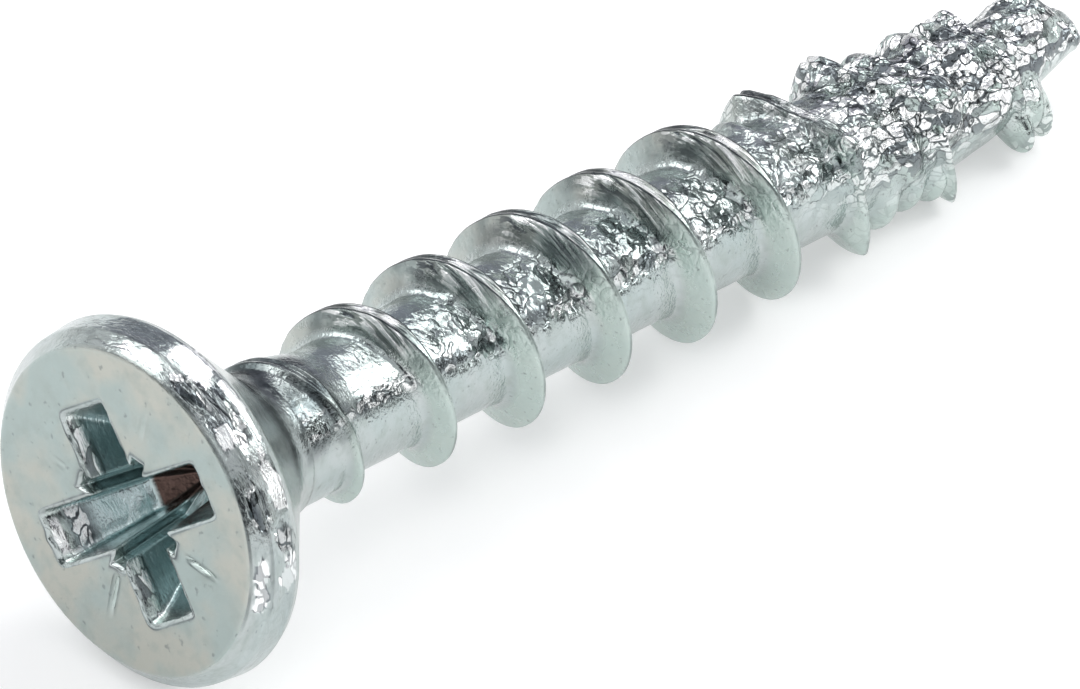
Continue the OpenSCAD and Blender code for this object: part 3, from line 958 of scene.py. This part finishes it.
def lie_matrix():
    """From the screw's own frame to where it lies, in mm."""
    turn = Matrix.Rotation(math.radians(LIE_TURN), 4, "Z")
    tilt = Matrix.Rotation(math.radians(90 + LIE_TILT), 4, "Y")
    move = Matrix.Translation((-LIE_MIDDLE, 0.0, LIE_HEIGHT))
    return move @ tilt @ turn


def grain_points(points):
    """Where the surface's grain is read: in the screw's own frame, drawn out round the head's rim."""
    z = points[:, 2]
    around = 0.5 + 0.4 * smooth(1.2, 3.2, z) + 0.1 * smooth(15.0, 19.0, z)
    along = 1.1 * z + 0.8 * np.minimum(z, 1.2)
    return np.column_stack([points[:, 0] * around, points[:, 1] * around, along])


def make_screw():
    top, column_angle = build_shank(build_head())
    build_tip(top, column_angle)
    points = np.concatenate(skin.points)
    lie = np.array(lie_matrix())
    world = (points @ lie[:3, :3].T + lie[:3, 3]) * MM
    mesh = bpy.data.meshes.new("screw_skin")
    mesh.from_pydata(world.tolist(), [], skin.faces)
    marks = np.concatenate(skin.marks)
    for k, name in enumerate(Skin.MARKS):
        layer = mesh.attributes.new(name, "FLOAT", "POINT")
        layer.data.foreach_set("value", marks[:, k].astype(np.float32))
    grain = mesh.attributes.new("grain", "FLOAT_VECTOR", "POINT")
    grain.data.foreach_set("vector", grain_points(points).astype(np.float32).ravel())
    mesh.shade_smooth()
    mesh.materials.append(zinc_material())
    piece = bpy.data.objects.new("screw_skin", mesh)
    bpy.context.scene.collection.objects.link(piece)
    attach(piece, "root")
    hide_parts("screw")


# Camera

# Distance of the camera in mm, scale of the photograph, and angle of the axis to the line of sight
CAMERA_AWAY, PIXELS_PER_MM, VIEW_ANGLE = 600.0, 54.1, 51.8
PHOTO_W, PHOTO_H = 1080.0, 689.0
# Pixel of the face's middle, and rise of the axis in the photograph
FACE_X, FACE_Y = 122.4, 515.2
AXIS_RISE = math.atan2(460.0, 910.0)
SENSOR = 36.0


def make_camera():
    """Where the photograph was taken from: the face's middle lands on its pixel."""
    view, rise = math.radians(VIEW_ANGLE), AXIS_RISE
    along, up_own = np.array([0.0, math.cos(view), math.sin(view)]), np.array([1.0, 0.0, 0.0])
    right = math.cos(rise) * along - math.sin(rise) * up_own
    up = math.sin(rise) * along + math.cos(rise) * up_own
    back = np.array([0.0, math.sin(view), -math.cos(view)])
    focal = PIXELS_PER_MM * CAMERA_AWAY
    x = (FACE_X - PHOTO_W / 2) * CAMERA_AWAY / focal
    y = -(FACE_Y - PHOTO_H / 2) * CAMERA_AWAY / focal
    lie = np.array(lie_matrix())
    where = lie[:3, :3] @ (back * CAMERA_AWAY - right * x - up * y) + lie[:3, 3]
    data = bpy.data.cameras.new("camera")
    data.sensor_width = SENSOR
    data.lens = focal * SENSOR / PHOTO_W
    camera = bpy.data.objects.new("camera", data)
    bpy.context.scene.collection.objects.link(camera)
    axes = np.column_stack([lie[:3, :3] @ v for v in (right, up, back)])
    camera.matrix_world = Matrix.Translation((where * MM).tolist()) @ Matrix(axes.tolist()).to_4x4()
    bpy.context.scene.camera = camera


# Studio

# Side of the floor in metres, its colour, and its own light as the camera and mirrors see it
FLOOR_SIZE, FLOOR_COLOUR, FLOOR_GLOW = 4.0, (0.8, 0.8, 0.8, 1.0), 0.33
# Lamp: place in metres, side, and power in watts
KEY_AWAY, KEY_SIZE, KEY_POWER = (0.406, -0.224, 0.38), 0.25, 0.8
HORIZON, ZENITH, SKY_TOP = (1.0, 1.0, 1.0), (0.62, 0.63, 0.66), 0.9
# Parts of the studio that the metal shows: direction, angles where the patch is full and gone, colour
PATCHES = (
    ((0.66, 0.50, 0.52), 22.0, 44.0, (0.38, 0.38, 0.44)),
    ((0.68, -0.33, 0.65), 21.0, 24.0, (2.2, 2.2, 2.2)),
    ((0.65, -0.71, 0.26), 16.0, 18.0, (0.03, 0.035, 0.04)),
    ((0.46, -0.82, 0.32), 9.0, 10.5, (2.2, 2.2, 2.2)),
    ((0.54, 0.27, 0.79), 13.0, 14.5, (3.2, 3.2, 3.2)),
    ((-0.32, 0.58, 0.75), 17.0, 20.0, (3.0, 3.0, 3.0)),
    ((-0.48, 0.00, 0.87), 10.0, 12.0, (0.07, 0.07, 0.08)),
    ((-0.545, -0.38, 0.745), 7.0, 9.0, (1.8, 1.8, 1.8)),
    ((-0.58, -0.76, 0.28), 15.0, 17.0, (0.05, 0.05, 0.06)),
    ((-0.96, 0.22, 0.16), 15.0, 20.0, (0.05, 0.07, 0.075)),
)


def seen_directly(tree):
    """1 for rays from the camera, from a glossy surface or through glass."""
    path = node(tree, "ShaderNodeLightPath")
    either = maths(tree, "MAXIMUM", path.outputs["Is Camera Ray"], path.outputs["Is Glossy Ray"])
    return maths(tree, "MAXIMUM", either, path.outputs["Is Transmission Ray"])


def make_floor():
    bpy.ops.mesh.primitive_plane_add(size=FLOOR_SIZE, location=(0.0, 0.0, 0.0))
    floor = bpy.context.object
    floor.name = "floor"
    material = bpy.data.materials.new("floor")
    material.use_nodes = True
    tree = material.node_tree
    tree.nodes.remove(tree.nodes["Principled BSDF"])
    lit = node(tree, "ShaderNodeBsdfDiffuse", {"Color": FLOOR_COLOUR})
    glow = node(tree, "ShaderNodeEmission", {"Color": (1.0, 1.0, 1.0, 1.0),
                                             "Strength": times(tree, seen_directly(tree), FLOOR_GLOW)})
    both = node(tree, "ShaderNodeAddShader", {0: lit.outputs[0], 1: glow.outputs[0]})
    put(tree, tree.nodes["Material Output"].inputs["Surface"], both.outputs[0])
    floor.data.materials.append(material)


def lamp(name, away, size, power):
    """A soft square lamp that faces the screw."""
    data = bpy.data.lights.new(name, "AREA")
    data.size, data.energy = size, power
    obj = bpy.data.objects.new(name, data)
    obj.location = away
    obj.rotation_euler = Vector(away).to_track_quat("Z", "Y").to_euler()
    bpy.context.scene.collection.objects.link(obj)


def patch(tree, direction, towards, inner, outer):
    """1 within an angle of a direction, falling to 0 at a wider one."""
    v = np.array(towards) / np.linalg.norm(towards)
    near = vector_maths(tree, "DOT_PRODUCT", direction, tuple(v))
    gone, full = math.cos(math.radians(outer)), math.cos(math.radians(inner))
    return span(tree, near, gone, full, 0.0, 1.0, interpolation_type="SMOOTHSTEP")


def make_world():
    """A pale sky with the bright and dark patches that the metal reflects."""
    world = bpy.data.worlds.new("world")
    bpy.context.scene.world = world
    world.use_nodes = True
    tree = world.node_tree
    direction = node(tree, "ShaderNodeTexCoord").outputs["Generated"]
    height = node(tree, "ShaderNodeSeparateXYZ", {0: direction}).outputs["Z"]
    sky = mix_colour(tree, span(tree, height, 0.0, SKY_TOP, 0.0, 1.0), HORIZON, ZENITH)
    for towards, inner, outer, colour in PATCHES:
        sky = mix_colour(tree, patch(tree, direction, towards, inner, outer), sky, colour)
    put(tree, tree.nodes["Background"].inputs["Color"], sky)


make_screw()
make_camera()
make_floor()
make_world()
lamp("key", KEY_AWAY, KEY_SIZE, KEY_POWER)
bpy.context.scene.view_settings.view_transform = "Standard"
